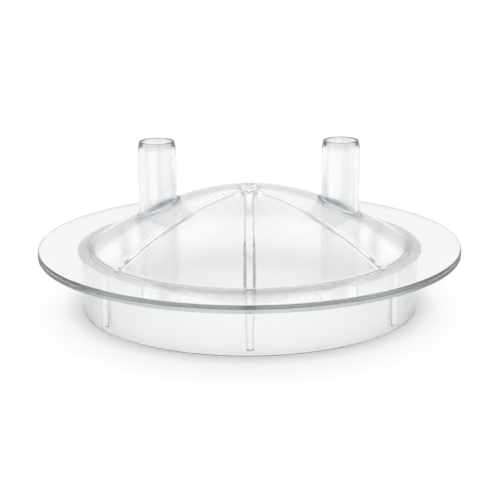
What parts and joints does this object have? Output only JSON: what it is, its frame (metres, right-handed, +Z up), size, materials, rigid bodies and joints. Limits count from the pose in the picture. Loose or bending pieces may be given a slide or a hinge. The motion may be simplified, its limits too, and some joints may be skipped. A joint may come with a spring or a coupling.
{
  "type": "humidity dome tray",
  "caption": "Clear ribbed dome with two upright open hose tubes, which lifts off a flanged skirt ring that is open below.",
  "frame": {"origin": "centre of the plane that the skirt ring stands on, on the dome's axis", "axes": "+Z up along the dome's axis; the two hose tubes stand on the X axis, the left one at -X; a rib points along -Y, to the front"},
  "size_m": [0.24, 0.24, 0.0946],
  "materials": {
    "clear_shell": "clear moulded acrylic-like plastic, polished",
    "clear_tube": "clear extruded tube, polished",
    "clear_collar": "clear soft elastomer, glossy",
    "clear_seal": "clear soft elastomer film, satin"
  },
  "bodies": {
    "base": {"skirt_ring": "clear_shell", "rim_seal": "clear_seal"},
    "dome": {"dome_shell": "clear_shell", "left_hose_tube": "clear_tube", "right_hose_tube": "clear_tube", "left_tube_collar": "clear_collar", "right_tube_collar": "clear_collar"}
  },
  "joints": [
    {"name": "dome_lift", "type": "slide", "parent": "base", "child": "dome", "axis": [0, 0, 1], "range_m": [0, 0.11]}
  ]
}
